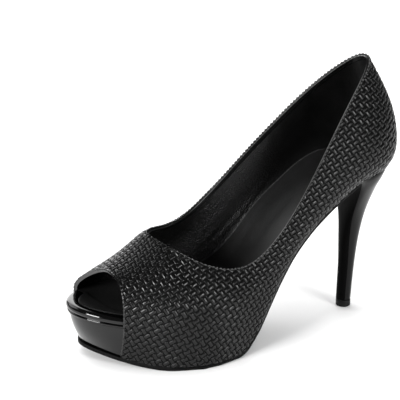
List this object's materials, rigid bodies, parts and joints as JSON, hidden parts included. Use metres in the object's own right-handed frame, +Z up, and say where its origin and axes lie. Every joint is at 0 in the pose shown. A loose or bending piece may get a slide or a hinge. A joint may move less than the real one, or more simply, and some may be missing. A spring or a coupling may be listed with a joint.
{
  "type": "peep-toe platform pump",
  "caption": "Left peep-toe platform pump: basket-weave leather upper open at collar and toe, patent toe lip and platform, satin insole, thin outsole and slender lacquered heel.",
  "frame": {"origin": "on the floor under the middle of the shoe's box", "axes": "+Z up from the floor, -Y towards the toe, +X towards the outer side of the left foot"},
  "size_m": [0.0838, 0.212, 0.1567],
  "materials": {
    "woven_leather": "satin",
    "insole_leather": "satin",
    "patent_leather": "gloss",
    "platform_patent": "gloss",
    "outsole_rubber": "matte",
    "heel_lacquer": "gloss",
    "heel_tip_rubber": "matte"
  },
  "bodies": {
    "root": {"upper": "woven_leather", "insole": "insole_leather", "toe_lip": "patent_leather", "platform": "platform_patent", "outsole": "outsole_rubber", "heel": "heel_lacquer", "heel_tip": "heel_tip_rubber"}
  },
  "joints": []
}
